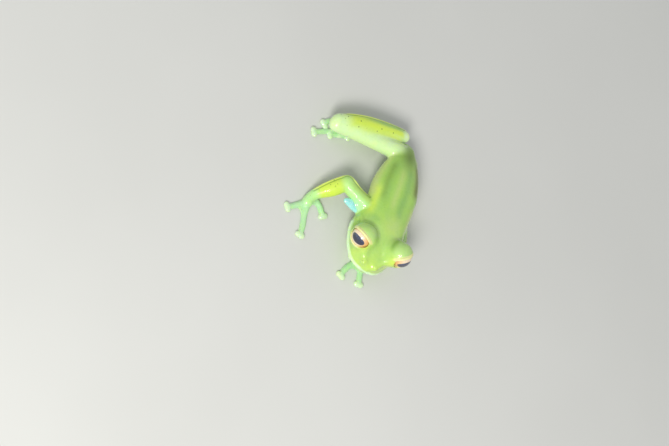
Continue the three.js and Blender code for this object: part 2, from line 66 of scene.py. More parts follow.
# Body stations: distance along the body, half width, and the heights of back, widest level and belly
BODY_STATIONS = np.array([
    (0.75, 0.75, 4.10, 3.10, 2.35),
    (1.02, 1.55, 4.55, 2.90, 2.05),
    (1.54, 2.35, 4.95, 2.70, 1.85),
    (2.42, 3.12, 5.35, 2.50, 1.70),
    (3.60, 3.78, 5.70, 2.38, 1.62),
    (5.00, 4.25, 5.95, 2.35, 1.58),
    (6.45, 4.52, 6.10, 2.40, 1.55),
    (7.75, 4.52, 6.20, 2.65, 1.52),
    (9.20, 4.15, 6.25, 3.20, 1.50),
    (11.0, 3.98, 6.25, 3.60, 1.50),
    (13.0, 4.00, 6.28, 3.65, 1.50),
    (15.0, 4.04, 6.30, 3.60, 1.52),
    (17.0, 3.70, 6.12, 3.55, 1.60),
    (19.0, 3.12, 5.70, 3.50, 1.75),
    (20.8, 2.34, 5.20, 3.50, 1.95),
    (22.2, 1.50, 4.72, 3.40, 2.10),
    (23.1, 1.15, 4.25, 3.30, 2.40),
    (23.65, 0.62, 3.75, 3.25, 2.80),
])
SNOUT, VENT = BODY_STATIONS[0, 0], BODY_STATIONS[-1, 0]
HEAD_TURN = {"degrees": -1.7, "pivot": 12.5, "from": 14.0, "to": 9.0}

# Head features, on the left side where one is given for both
EYES = {
    "right": {"x": -3.23, "y": 4.36, "z": 5.81, "turn": -36, "lift": 20, "roll": 18},
    "left": {"x": 3.68, "y": 4.8, "z": 6.28, "turn": 38, "lift": 19, "roll": 14},
}
EYE_RADIUS = 1.74
EYE_CORNEA = 1.88  # reach of the eyeball along the line of sight
EYE_RINGS, EYE_SIDES = 60, 96
EYE_BULGE = {"radius": 2.0, "behind": 0.2}
BROW = {"at": (2.5, 5.0, 4.9), "radii": (1.95, 2.2, 1.65)}
LID_OPENING = {"half_length": 1.71, "half_height": 1.28, "rim": 0.15, "floor": 0.35}
LIP = {"rise": 0.22, "inset": 0.18, "radius": 0.25}
MOUTH_GROOVE = {"rise": -0.12, "inset": 0.0, "radius": 0.09}
NOSTRIL = {"at": (1.1, 1.42, 4.72), "facing": (0.75, -0.45, 0.35), "mound": 0.3, "pit": 0.12}
EAR = {"at": (4.06, 7.2, 4.2), "facing": (0.86, 0.1, 0.42), "radius": 0.5, "rim": 0.1}
EAR_FOLD = {
    "points": [(3.3, 6.4, 5.1), (3.8, 7.3, 4.7), (4.08, 8.1, 4.15), (3.9, 9.1, 3.7)],
    "radii": (0.2, 0.24, 0.2, 0.1),
}

# Joints of each limb
LIMBS = {
    "right": {
        "shoulder": (-3.1, 10.5, 3.6),
        "arm_middle": (-5.9, 11.2, 3.65),
        "elbow": (-8.1, 12.15, 3.5),
        "wrist": (-11.5, 8.75, 1.15),
        "palm": (-11.9, 7.6, 0.62),
        "spine": [(-4.4, 9.8, 3.0), (-5.3, 9.8, 3.05), (-7.05, 9.6, 3.35)],
        "fingers": [
            [(-11.1, 8.2), (-10.6, 9.4), (-10.1, 10.4)],
            [(-11.2, 8.5), (-9.75, 8.1), (-9.1, 7.5), (-8.5, 6.8)],
            [(-11.75, 7.1), (-11.44, 5.2), (-11.08, 3.4), (-11.05, 2.0)],
            [(-12.1, 7.1), (-13.35, 6.1), (-14.6, 5.05)],
        ],
        "hip": (-1.6, 21.85, 3.4),
        "knee_end": (-12.8, 20.5, 2.8),
        "knee_start": (-12.6, 21.35, 3.1),
        "heel_end": (-1.25, 24.95, 2.95),
        "heel_start": (-1.05, 25.0, 0.95),
        "instep": (-7.1, 22.2, 0.62),
        "toes": [
            [(-7.9, 22.1), (-8.6, 21.8), (-9.25, 21.25)],
            [(-8.2, 22.1), (-9.7, 21.7), (-10.85, 20.95)],
            [(-8.3, 22.1), (-10.4, 20.8), (-12.1, 19.95)],
            [(-8.4, 22.1), (-11.3, 20.9), (-14.8, 18.8)],
            [(-8.2, 22.2), (-11.4, 22.3), (-13.05, 21.8), (-13.65, 20.95)],
        ],
    },
    "left": {
        "shoulder": (2.9, 10.8, 3.3),
        "arm_middle": (4.25, 8.9, 2.2),
        "elbow": (4.75, 6.7, 1.1),
        "wrist": (1.35, 4.75, 0.68),
        "palm": (0.45, 3.9, 0.6),
        "spine": [(3.2, 9.3, 1.7), (2.8, 8.4, 1.1), (2.7, 7.4, 0.75)],
        "fingers": [
            [(0.1, 4.6), (-0.6, 5.5), (-1.5, 6.1)],
            [(-0.1, 3.9), (-0.9, 4.0), (-1.75, 3.6)],
            [(-0.1, 3.1), (-1.26, 1.88), (-1.81, 0.96), (-2.23, -0.45)],
            [(0.6, 3.1), (0.78, 1.6), (0.98, 0.7), (1.15, -0.22)],
        ],
        "hip": (0.8, 20.7, 2.9),
        "knee_end": (3.6, 12.6, 2.4),
        "knee_start": (4.3, 12.4, 0.95),
        "heel_end": (2.3, 22.9, 0.95),
        "heel_start": (1.1, 23.0, 0.66),
        "instep": (0.95, 17.3, 0.62),
        "toes": [
            [(0.5, 16.6), (-0.3, 15.6), (-1.2, 14.6)],
            [(0.6, 16.4), (-0.3, 14.5), (-1.3, 12.8)],
            [(0.8, 16.3), (0.2, 13.6), (-0.6, 11.0)],
            [(1.0, 16.3), (1.2, 12.8), (1.0, 9.2)],
            [(1.2, 16.5), (2.0, 14.0), (2.3, 11.2)],
        ],
    },
}
ARM = {"shoulder": 1.32, "middle": 1.14, "elbow": 1.15, "forearm": 1.3, "wrist": 0.84, "palm": 0.88}
LEG = {"hip": 1.45, "thigh": 1.22, "knee": 1.1, "calf": 1.62, "shin": 1.4, "heel": 1.0, "ankle": 0.72,
       "instep": 0.66}
DIGIT = {"root": 0.58, "radius": 0.42, "neck": 0.36, "height": 0.28, "flat": 0.88}
FRINGE = {"height": 0.16, "wider": 1.25, "flat": 0.36}
DISC = {"lobe": (0.47, 0.5, 0.32), "apart": 0.37, "ahead": 0.05, "sunk": 0.08, "slant": 0.35}
SPINE_RADII = (1.0, 0.95, 0.42)
SHEATH_RADII = (0.9, 0.9, 0.7)
FOLD = {"radius": 0.14, "tilt": 0.6}  # the fold along a limb's rear edge, with its height as an angle
WEB = {"height": 0.2, "half_height": 0.12, "hollow": 0.4}
HAND_WEB = (0.6, 0.52)  # how far out along each digit the web reaches
FOOT_WEB = (0.72, 0.68, 0.66, 0.6, 0.72)

# How wide the flesh is rounded where a part joins: at the joint, away from it, and how far the joint reaches
SHOULDER_JOIN = (0.6, 0.12, 1.4)
ELBOW_JOIN = (0.4, 0.1, 1.0)
FINGER_JOIN = (0.55, 0.1, 1.0)
HIP_JOIN = (1.0, 0.14, 1.8)
HEEL_JOIN = (0.35, 0.1, 0.9)
TOE_JOIN = (0.35, 0.1, 0.9)
BULGE_JOIN = (0.5, 1.3, 1.5)

# Colours, as linear light
LIME = (0.40, 0.66, 0.135)
HEAD_LIME = (0.47, 0.72, 0.19)
YELLOW = (0.66, 0.84, 0.10)
GREY_GREEN = (0.27, 0.50, 0.13)
TAN = (0.60, 0.70, 0.26)
OLIVE = (0.12, 0.21, 0.015)
LEFT_FLANK_SHADE = (0.17, 0.22, 0.02)
MINT = (0.52, 0.86, 0.34)
ROOT_MINT = (0.42, 0.84, 0.50)
PALE = (0.70, 0.93, 0.48)
HAND = (0.50, 0.82, 0.45)
DISC_WHITE = (0.80, 0.93, 0.66)
LIP_PALE = (0.72, 0.97, 0.62)
LID = (0.86, 0.84, 0.40)
LID_EDGE = (0.30, 0.12, 0.03)
CREASE_SHADE = (0.16, 0.36, 0.04)
BELLY = (0.72, 0.88, 0.62)
FOLD_YELLOW = (0.72, 0.84, 0.20)
FOLD_SHADE = (0.13, 0.30, 0.02)


def unit(vector):
    vector = np.asarray(vector, float)
    return vector / np.linalg.norm(vector)


def spline(points, count):
    """Count spots along a smooth curve through the points; columns after x, y and z go along."""
    points = np.asarray(points, float)
    knots = np.concatenate([[0.0], np.cumsum(np.linalg.norm(np.diff(points[:, :3], axis=0), axis=1) ** 0.5)])
    slopes = np.gradient(points, knots, axis=0, edge_order=2 if len(points) > 2 else 1)
    at = np.linspace(0, knots[-1], count)
    i = np.clip(np.searchsorted(knots, at, side="right") - 1, 0, len(knots) - 2)
    span = (knots[i + 1] - knots[i])[:, None]
    s = (at[:, None] - knots[i][:, None]) / span
    return ((1 + 2 * s) * (1 - s) ** 2 * points[i] + s * (1 - s) ** 2 * span * slopes[i]
            + s * s * (3 - 2 * s) * points[i + 1] + s * s * (s - 1) * span * slopes[i + 1])


def smooth(low, high, value):
    """0 below low, 1 above high and smooth in between."""
    share = np.clip((value - low) / (high - low), 0, 1)
    return share * share * (3 - 2 * share)


def merge(a, b, blend):
    """The union of two distances, rounded over the given width."""
    near = np.maximum(blend - np.abs(a - b), 0) / blend
    return np.minimum(a, b) - near * near * blend * 0.25


def carve(a, b, blend):
    """The distance a with b cut out of it."""
    return -merge(-a, b, blend)


class Tube:
    """A limb with round ends along a smooth path, with a radius at each point."""

    def __init__(self, points, radii, flat=1.0, count=36):
        chain = spline(np.column_stack([points, radii]), count)
        self.spots, self.radii, self.flat = chain[:, :3], chain[:, 3], flat

    def reach(self, margin):
        far = self.radii.max() + margin
        return self.spots.min(0) - far, self.spots.max(0) + far

    def __call__(self, x, y, z):
        nearest = np.float32(1e3)
        ends = zip(self.spots[:-1], self.spots[1:], self.radii[:-1], self.radii[1:])
        for start, end, first, last in ends:
            along = (end - start).astype(np.float32)
            px, py, pz = x - np.float32(start[0]), y - np.float32(start[1]), z - np.float32(start[2])
            share = (px * along[0] + py * along[1] + pz * along[2]) / np.float32(along @ along)
            share = np.clip(share, 0, 1)
            gap = np.sqrt((px - share * along[0]) ** 2 + (py - share * along[1]) ** 2
                          + ((pz - share * along[2]) / np.float32(self.flat)) ** 2)
            gap = gap - np.float32(first) - share * np.float32(last - first)
            nearest = np.minimum(nearest, gap)
        return nearest * np.float32((1 + self.flat) / 2)


class Blob:
    """An ellipsoid whose own axes are the rows of axes."""

    def __init__(self, middle, radii, axes=None):
        self.middle = np.asarray(middle, float)
        self.radii = np.asarray(radii, float) * np.ones(3)
        self.axes = np.eye(3) if axes is None else np.asarray(axes, float)

    def reach(self, margin):
        far = np.sqrt(((self.axes * self.radii[:, None]) ** 2).sum(0)) + margin
        return self.middle - far, self.middle + far

    def __call__(self, x, y, z):
        px, py, pz = [p - np.float32(m) for p, m in zip((x, y, z), self.middle)]
        inner, outer = 0, 0
        for axis, radius in zip(self.axes, self.radii):
            part = (px * np.float32(axis[0]) + py * np.float32(axis[1]) + pz * np.float32(axis[2]))
            inner = inner + (part / np.float32(radius)) ** 2
            outer = outer + (part / np.float32(radius ** 2)) ** 2
        inner = np.sqrt(inner)
        return inner * (inner - 1) / np.maximum(np.sqrt(outer), np.float32(1e-4))


class Sheet:
    """A thin level skin inside a closed outline."""

    def __init__(self, outline, height, half_height):
        self.outline = np.asarray(outline, float)
        self.height, self.half_height = height, half_height

    def reach(self, margin):
        low, high = self.outline.min(0) - margin, self.outline.max(0) + margin
        return (np.append(low, self.height - self.half_height - margin),
                np.append(high, self.height + self.half_height + margin))

    def __call__(self, x, y, z):
        nearest, inside = np.float32(1e3), False
        for a, b in zip(self.outline, np.roll(self.outline, -1, axis=0)):
            ex, ey = b - a
            px, py = x - np.float32(a[0]), y - np.float32(a[1])
            share = np.clip((px * ex + py * ey) / (ex * ex + ey * ey + 1e-9), 0, 1)
            nearest = np.minimum(nearest, (px - share * ex) ** 2 + (py - share * ey) ** 2)
            if abs(ey) > 1e-9:
                crosses = ((a[1] > y) != (b[1] > y)) & (px < ex * py / ey)
                inside = np.logical_xor(inside, crosses)
        flat = np.sqrt(nearest) * np.where(inside, -1, 1)
        rise = np.abs(z - np.float32(self.height)) - np.float32(self.half_height)
        out = np.sqrt(np.maximum(flat, 0) ** 2 + np.maximum(rise, 0) ** 2)
        return (out + np.minimum(np.maximum(flat, rise), 0)).astype(np.float32)


class Body:
    """The body from snout to vent, fuller above than an ellipse."""

    fullness, closing = 0.86, 0.14
    stations = spline(np.insert(BODY_STATIONS, [1, 1], 0, axis=1), 400)  # as spots along a straight line

    def sizes(self, y):
        along = self.stations[:, 0]
        return [np.interp(y, along, self.stations[:, i]).astype(np.float32) for i in (3, 4, 5, 6)]

    def reach(self, margin):
        half = self.stations[:, 3].max() + 0.4 + margin
        return (np.array([-half, SNOUT - self.closing - margin, 1.5 - margin]),
                np.array([half, VENT + self.closing + margin, 6.3 + margin]))

    def level(self, x, y, z):
        angle = head_turn(y)
        ahead = y - np.float32(HEAD_TURN["pivot"])
        across = np.cos(angle) * x + np.sin(angle) * ahead
        along = np.cos(angle) * ahead - np.sin(angle) * x + np.float32(HEAD_TURN["pivot"])
        half, top, side, belly = self.sizes(along)
        beyond = np.maximum(np.maximum(SNOUT - along, along - VENT), 0) / self.closing
        rise = z - side
        above = np.abs(rise) / (top - side)
        below = np.abs(rise) / (side - belly)
        power = np.float32(2 / self.fullness)
        upright = np.where(rise > 0, above ** power, below ** 2)
        filled = (np.abs(across) / half) ** power + upright + beyond.astype(np.float32) ** 2
        return filled ** np.float32(0.45) - 1

    def __call__(self, x, y, z):
        small = np.float32(0.03)
        here = self.level(x, y, z)
        round_slope = (self.level(x + small, y, z) - here) ** 2 + (self.level(x, y, z + small) - here) ** 2
        slope = np.sqrt(round_slope + (self.level(x, y + small, z) - here) ** 2)
        slope += (np.sqrt(round_slope) - slope) * smooth(0.3, 1.2, here)  # far off, the taper doesn't count
        return here / np.maximum(slope / small, 0.12)


def head_turn(y):
    """The turn of the head in radians at a distance behind the snout."""
    share = smooth(0, HEAD_TURN["from"] - HEAD_TURN["to"], HEAD_TURN["from"] - y)
    return (math.radians(HEAD_TURN["degrees"]) * share).astype(np.float32)


def turned(vector):
    """A direction on the straight head, turned with it."""
    x, y, z = vector
    angle = math.radians(HEAD_TURN["degrees"])
    return np.array([math.cos(angle) * x - math.sin(angle) * y, math.sin(angle) * x + math.cos(angle) * y, z])


def on_head(point):
    """A point of the straight head, moved with the turn of the head."""
    pivot = np.array([0, HEAD_TURN["pivot"], 0])
    return turned(np.asarray(point, float) - pivot) + pivot


def across(direction):
    """Level, upward and outward unit axes of a thing that faces the direction."""
    outward = unit(direction)
    level = unit(np.cross((0, 0, 1), outward))
    return np.array([level, np.cross(outward, level), outward])


def eye_place(name):
    """The middle of an eye, and its axes: along the pupil, across it and along the line of sight."""
    eye = EYES[name]
    turn, lift, roll = (math.radians(eye[key]) for key in ("turn", "lift", "roll"))
    gaze = (math.sin(turn) * math.cos(lift), -math.cos(turn) * math.cos(lift), math.sin(lift))
    level, over, outward = across(turned(gaze))
    along = math.cos(roll) * level + math.sin(roll) * over
    return on_head((eye["x"], eye["y"], eye["z"])), np.array([along, np.cross(outward, along), outward])


class Opening:
    """The long opening between the lids, cut along the line of sight."""

    def __init__(self, name):
        self.middle, self.axes = eye_place(name)

    def reach(self, margin):
        return self.middle - 2.5 - margin, self.middle + 2.5 + margin

    def edge(self, x, y, z):
        """The distance from the opening's edge, and how far out along the line of sight."""
        offsets = [p - np.float32(m) for p, m in zip((x, y, z), self.middle)]
        u, w, n = (sum(p * np.float32(a) for p, a in zip(offsets, axis)) for axis in self.axes)
        a, b = LID_OPENING["half_length"], LID_OPENING["half_height"]
        inner = np.sqrt((u / a) ** 2 + (w / b) ** 2)
        outer = np.sqrt((u / a ** 2) ** 2 + (w / b ** 2) ** 2)
        return inner * (inner - 1) / np.maximum(outer, 1e-4), n

    def __call__(self, x, y, z):
        edge, n = self.edge(x, y, z)
        return np.maximum(edge, LID_OPENING["floor"] - n)


def lid_rim(name):
    """The margin of the lids, which lies on the eyeball round the opening."""
    middle, axes = eye_place(name)
    spots, radii = [], []
    for turn in np.linspace(0, 2 * math.pi, 49):
        upper = max(0.0, math.sin(turn))  # the upper lid is thicker and stands further out
        u = (LID_OPENING["half_length"] + 0.05) * math.cos(turn)
        w = (LID_OPENING["half_height"] + 0.05) * math.sin(turn)
        n = EYE_CORNEA * math.sqrt(max(0.0, 1 - (u * u + w * w) / EYE_RADIUS ** 2))
        spots.append(middle + u * axes[0] + w * axes[1] + (n + 0.02 + 0.14 * upper) * axes[2])
        radii.append(LID_OPENING["rim"] + 0.07 * upper)
    return Tube(spots, radii, count=65)


def mouth_path(rise, inset, corner=6.9, steps=26):
    """Points along the edge of the mouth, from one jaw corner round the snout to the other."""
    right = []
    for i in range(steps):
        y = SNOUT + 0.08 + (corner - SNOUT) * (1 - i / steps) ** 1.8
        half, _, side, _ = Body().sizes(y)
        right.append((-(half - inset), y, side + rise))
    left = [(-x, y, z) for x, y, z in reversed(right)]
    tip = (0, SNOUT + inset, BODY_STATIONS[0, 3] + rise)
    return [on_head(p) for p in [*right, tip, *left]]


def around(join, spot):
    """A blend width that changes from a join's width at the spot to its width away from it."""
    near, far, reach = join

    def width(x, y, z):
        apart = sum((p - np.float32(s)) ** 2 for p, s in zip((x, y, z), spot))
        return np.float32(far) + np.float32(near - far) * np.exp(-apart / np.float32(2 * reach ** 2))

    return width


CORNERS = [(dx, dy, dz) for dx in (0, 1) for dy in (0, 1) for dz in (0, 1)]  # of a grid's cell


class Grid:
    """Distances to the surface on a regular grid of points."""

    def __init__(self, low, high, step):
        self.step = step
        self.low = np.asarray(low, float)
        counts = np.ceil((np.asarray(high) - self.low) / step).astype(int)
        self.axes = [(self.low[i] + step * np.arange(counts[i])).astype(np.float32) for i in range(3)]
        self.value = np.full(counts, FAR, np.float32)

    def window(self, low, high):
        spans = []
        for i in range(3):
            first = int(max(0, math.floor((low[i] - self.low[i]) / self.step)))
            last = int(min(len(self.axes[i]), math.ceil((high[i] - self.low[i]) / self.step) + 1))
            spans.append(slice(first, max(first, last)))
        x, y, z = (self.axes[i][spans[i]] for i in range(3))
        return tuple(spans), (x[:, None, None], y[None, :, None], z[None, None, :])

    def change(self, shape, blend, how, margin):
        spans, places = self.window(*shape.reach(margin))
        width = blend(*places) if callable(blend) else np.float32(blend)
        self.value[spans] = how(self.value[spans], shape(*places), width)

    def add(self, shape, blend=0.1, margin=1.0):
        self.change(shape, blend, merge, margin)

    def cut(self, shape, blend=0.1, margin=0.4):
        self.change(shape, blend, carve, margin)

    def above_floor(self, blend=0.06):
        floor = np.broadcast_to(self.axes[2][None, None, :], self.value.shape)
        self.value = -merge(-self.value, floor, np.float32(blend))

    def sample(self, points):
        """The distance at any points, from the eight grid points round each."""
        place = (points - self.low) / self.step
        first = np.clip(np.floor(place).astype(int), 0, np.array(self.value.shape) - 2)
        part = place - first
        found = 0
        for corner in CORNERS:
            share = np.prod(np.abs(1 - np.array(corner) - part), axis=1)
            found = found + share * self.value[tuple((first + corner).T)]
        return found

    def slopes(self, points):
        rises = []
        for move in self.step * np.eye(3):
            rises.append(self.sample(points + move) - self.sample(points - move))
        return np.column_stack(rises) / (2 * self.step)

    def surface(self, rounds=2):
        """Points and four-sided faces of the surface where the distance is nought."""
        inside = self.value < 0
        cells = tuple(n - 1 for n in inside.shape)
        total = np.zeros(cells, np.int8)
        for dx, dy, dz in CORNERS:
            total += inside[dx:dx + cells[0], dy:dy + cells[1], dz:dz + cells[2]]
        active = np.argwhere((total > 0) & (total < len(CORNERS)))
        number = np.full(cells, -1, np.int64)
        number[tuple(active.T)] = np.arange(len(active))
        values = {corner: self.value[tuple((active + corner).T)] for corner in CORNERS}
        points = np.zeros((len(active), 3))
        crossings = np.zeros(len(active))
        for axis in range(3):
            for a in CORNERS:
                if a[axis]:
                    continue
                b = tuple(1 if i == axis else a[i] for i in range(3))
                first, second = values[a], values[b]
                hit = (first < 0) != (second < 0)
                share = np.where(hit, first / np.where(hit, first - second, 1), 0)
                spot = np.tile(np.array(a, float), (len(active), 1))
                spot[:, axis] = share
                points += spot * hit[:, None]
                crossings += hit
        points = self.low + self.step * (active + points / crossings[:, None])
        faces = []
        for axis in range(3):
            u, w = (axis + 1) % 3, (axis + 2) % 3
            here = [slice(None)] * 3
            there = [slice(None)] * 3
            here[axis], there[axis] = slice(0, -1), slice(1, None)
            a, b = inside[tuple(here)], inside[tuple(there)]
            for starts, turn in ((a & ~b, False), (b & ~a, True)):
                edge = np.argwhere(starts)
                beside = edge[:, [u, w]]
                edge = edge[((beside > 0) & (beside < (cells[u], cells[w]))).all(axis=1)]
                quad = []
                for du, dw in ((-1, -1), (0, -1), (0, 0), (-1, 0)):
                    cell = edge.copy()
                    cell[:, u] += du
                    cell[:, w] += dw
                    quad.append(number[tuple(cell.T)])
                quad = np.column_stack(quad)
                faces.append(quad[:, ::-1] if turn else quad)
        for _ in range(rounds):
            slope = self.slopes(points)
            size = np.maximum((slope ** 2).sum(1), 0.1)
            shift = self.sample(points)[:, None] * slope / size[:, None]
            points = points - np.clip(shift, -self.step / 2, self.step / 2)
        return points, np.concatenate(faces)


def add_object(name, data):
    """A new object of the data, in the scene."""
    made = bpy.data.objects.new(name, data)
    bpy.context.scene.collection.objects.link(made)
    return made


def make_mesh(name, points, faces):
    """A mesh object from points in frog millimetres and four-sided faces."""
    mesh = bpy.data.meshes.new(name)
    mesh.vertices.add(len(points))
    mesh.vertices.foreach_set("co", ((points - FOOTPRINT) * MM).astype(np.float32).ravel())
    mesh.loops.add(faces.size)
    mesh.loops.foreach_set("vertex_index", faces.astype(np.int32).ravel())
    mesh.polygons.add(len(faces))
    mesh.polygons.foreach_set("loop_start", np.arange(0, faces.size, 4, dtype=np.int32))
    mesh.polygons.foreach_set("loop_total", np.full(len(faces), 4, np.int32))
    mesh.update(calc_edges=True)
    mesh.polygons.foreach_set("use_smooth", np.ones(len(faces), bool))
    mesh.update()
    return add_object(name, mesh)


# Shapes of the limbs
def digit_shapes(points, root_height):
    """A finger or toe, its thin side fringes and the two lobes of the broad disc at its tip."""
    path = [(x, y, root_height if i == 0 else DIGIT["height"]) for i, (x, y) in enumerate(points)]
    radii = [DIGIT["root"]] + [DIGIT["radius"]] * (len(path) - 2) + [DIGIT["neck"]]
    digit = Tube(path, radii, flat=DIGIT["flat"], count=20)
    low = [(x, y, FRINGE["height"]) for x, y, _ in path]
    fringe = Tube(low, [r * FRINGE["wider"] for r in radii], flat=FRINGE["flat"], count=16)
    tip = np.array(path[-1])
    ahead = unit((tip - np.array(path[-2])) * (1, 1, 0))
    aside = np.cross((0, 0, 1), ahead)
    tip = tip + DISC["ahead"] * ahead + (0, 0, DISC["lobe"][2] - DISC["sunk"] - tip[2])
    lobes = []
    for side in (-1, 1):
        slant = unit(ahead + DISC["slant"] * side * aside)
        axes = np.array([slant, np.cross((0, 0, 1), slant), (0, 0, 1)])
        lobes.append(Blob(tip + side * DISC["apart"] * aside, DISC["lobe"], axes))
    return digit, fringe, lobes


def add_digits(grid, part, digits, root_height, join):
    """The digits of a hand or foot, kept with their discs under the part's name."""
    for points in digits:
        digit, fringe, lobes = digit_shapes(points, root_height)
        parts[part] += [digit, *lobes]
        grid.add(digit, join)
        grid.add(fringe, 0.14)
        for lobe in lobes:
            grid.add(lobe, 0.22)


def add_web(grid, root, digits, shares):
    """The skin between neighbouring digits, with hollowed edges."""
    root = np.array(root[:2])
    spots = [digit_point(points, share) for points, share in zip(digits, shares)]
    outline = [root]
    for before, here in zip(spots[:-1], spots[1:]):
        pulled = (1 - WEB["hollow"]) * (before + here) / 2 + WEB["hollow"] * root
        for t in np.linspace(0, 1, 7):
            outline.append((1 - t) ** 2 * before + 2 * t * (1 - t) * pulled + t * t * here)
    grid.add(Sheet(outline, WEB["height"], WEB["half_height"]), 0.2)


def digit_point(points, share, steps=40):
    """The point at a share of the way along a digit."""
    path = spline([(x, y, 0) for x, y in points], steps + 1)
    return path[int(round(share * steps)), :2]


def between(start, end, share):
    """What lies at a share of the way from start to end."""
    return np.array(start) * (1 - share) + np.array(end) * share


def arm_shapes(at):
    swell = between(at["elbow"], at["wrist"], 0.4)
    upper = Tube([at["shoulder"], at["arm_middle"], at["elbow"]],
                 [ARM["shoulder"], ARM["middle"], ARM["elbow"]])
    lower = Tube([at["elbow"], swell, at["wrist"], at["palm"]],
                 [ARM["elbow"], ARM["forearm"], ARM["wrist"], ARM["palm"]], flat=0.92)
    return upper, lower


def leg_shapes(at):
    hip, knee_end, knee_start = at["hip"], at["knee_end"], at["knee_start"]
    heel_end, heel_start = at["heel_end"], at["heel_start"]
    thigh = Tube([hip, between(hip, knee_end, 0.45), knee_end], [LEG["hip"], LEG["thigh"], LEG["knee"]])
    calf, shin = between(knee_start, heel_end, 0.35), between(knee_start, heel_end, 0.78)
    shank = Tube([knee_start, calf, shin, heel_end],
                 [LEG["knee"] * 0.96, LEG["calf"], LEG["shin"], LEG["heel"]])
    tarsus = Tube([heel_start, at["instep"]], [LEG["ankle"], LEG["instep"]], count=2)
    knee = Blob(between(knee_end, knee_start, 0.5), LEG["knee"])
    heel = Blob(between(heel_end, heel_start, 0.5), LEG["heel"])
    return thigh, shank, tarsus, knee, heel


def edge_fold(joints, radii, side):
    """A thin fold of skin along the rear edge of a limb, through the joints."""
    spots = []
    for i, (joint, radius) in enumerate(zip(joints, radii)):
        ahead = np.array(joints[min(i + 1, len(joints) - 1)], float) - joints[max(i - 1, 0)]
        rear = unit((ahead[1] * side, -ahead[0] * side, 0))
        out = math.cos(FOLD["tilt"]) * rear + (0, 0, math.sin(FOLD["tilt"]))
        spots.append(np.array(joint) + radius * out)
    return Tube(spots, np.full(len(spots), FOLD["radius"]), count=30)


parts = {}  # the shapes that make up each part of the flesh, by the part's name


def build_skin():
    """The distance grid of all the flesh, with the shapes of its parts kept by name for the colours."""
    grid = Grid(GRID_LOW, GRID_HIGH, STEP)
    parts["body"] = [Body()]
    grid.add(parts["body"][0], 0.01)

    for name, side in SIDES.items():
        at = LIMBS[name]
        upper, lower = arm_shapes(at)
        parts["upper_arm_" + name], parts["forearm_" + name] = [upper], [lower]
        grid.add(upper, around(SHOULDER_JOIN, at["shoulder"]))
        grid.add(lower, around(ELBOW_JOIN, at["elbow"]))
        joints = [at[k] for k in ("wrist", "elbow", "arm_middle", "shoulder")]
        joints.insert(1, between(at["elbow"], at["wrist"], 0.45))
        radii = [ARM["wrist"], ARM["forearm"], ARM["elbow"], ARM["middle"], ARM["shoulder"] - 0.25]
        parts["fold_" + name] = [edge_fold(joints, radii, side)]
        sheath = Tube([at["shoulder"], *at["spine"][:2]], SHEATH_RADII)
        parts["upper_arm_" + name].append(sheath)
        grid.add(sheath, 0.7)
        parts["hand_" + name] = []
        add_digits(grid, "hand_" + name, at["fingers"], 0.5, around(FINGER_JOIN, at["palm"]))
        add_web(grid, at["palm"], at["fingers"][2:], HAND_WEB)

        thigh, shank, tarsus, knee, heel = leg_shapes(at)
        parts["thigh_" + name], parts["shank_" + name] = [thigh], [shank]
        parts["tarsus_" + name], parts["knee_" + name] = [tarsus], [knee]
        grid.add(thigh, around(HIP_JOIN, at["hip"]))
        grid.add(shank, 1.0, margin=1.2)
        grid.add(knee, 0.35)
        joints = [between(at["knee_start"], at["heel_end"], t) for t in (0.08, 0.35, 0.7, 1.0)]
        radii = [LEG["knee"] + 0.1, LEG["calf"], LEG["shin"] + 0.08, LEG["heel"] - 0.05]
        parts["fold_" + name].append(edge_fold(joints, radii, side))
        for fold in parts["fold_" + name]:
            grid.add(fold, 0.2, margin=0.4)
        grid.add(tarsus, around(HEEL_JOIN, heel.middle))
        grid.add(heel, 0.35)
        beyond = between(at["instep"], (*at["toes"][2][1], 0.4), 0.35)
        instep = Tube([at["instep"], beyond], [LEG["instep"], 0.5], count=2)
        parts["foot_" + name] = [instep]
        grid.add(instep, 0.3)
        add_digits(grid, "foot_" + name, at["toes"], 0.45, around(TOE_JOIN, at["instep"]))
        add_web(grid, at["instep"], at["toes"], FOOT_WEB)

    shape_mouth(grid)
    for name, side in SIDES.items():
        shape_face(grid, name, side)
    grid.above_floor()
    return grid


def shape_mouth(grid):
    """The lips, and the line of the mouth as a groove under them."""
    path = mouth_path(LIP["rise"], LIP["inset"])
    parts["lip"] = [Tube(path, np.full(len(path), LIP["radius"]), flat=0.9, count=70)]
    grid.add(parts["lip"][0], 0.4, margin=0.5)
    path = mouth_path(MOUTH_GROOVE["rise"], MOUTH_GROOVE["inset"])
    grid.cut(Tube(path, np.full(len(path), MOUTH_GROOVE["radius"]), count=70), 0.12)


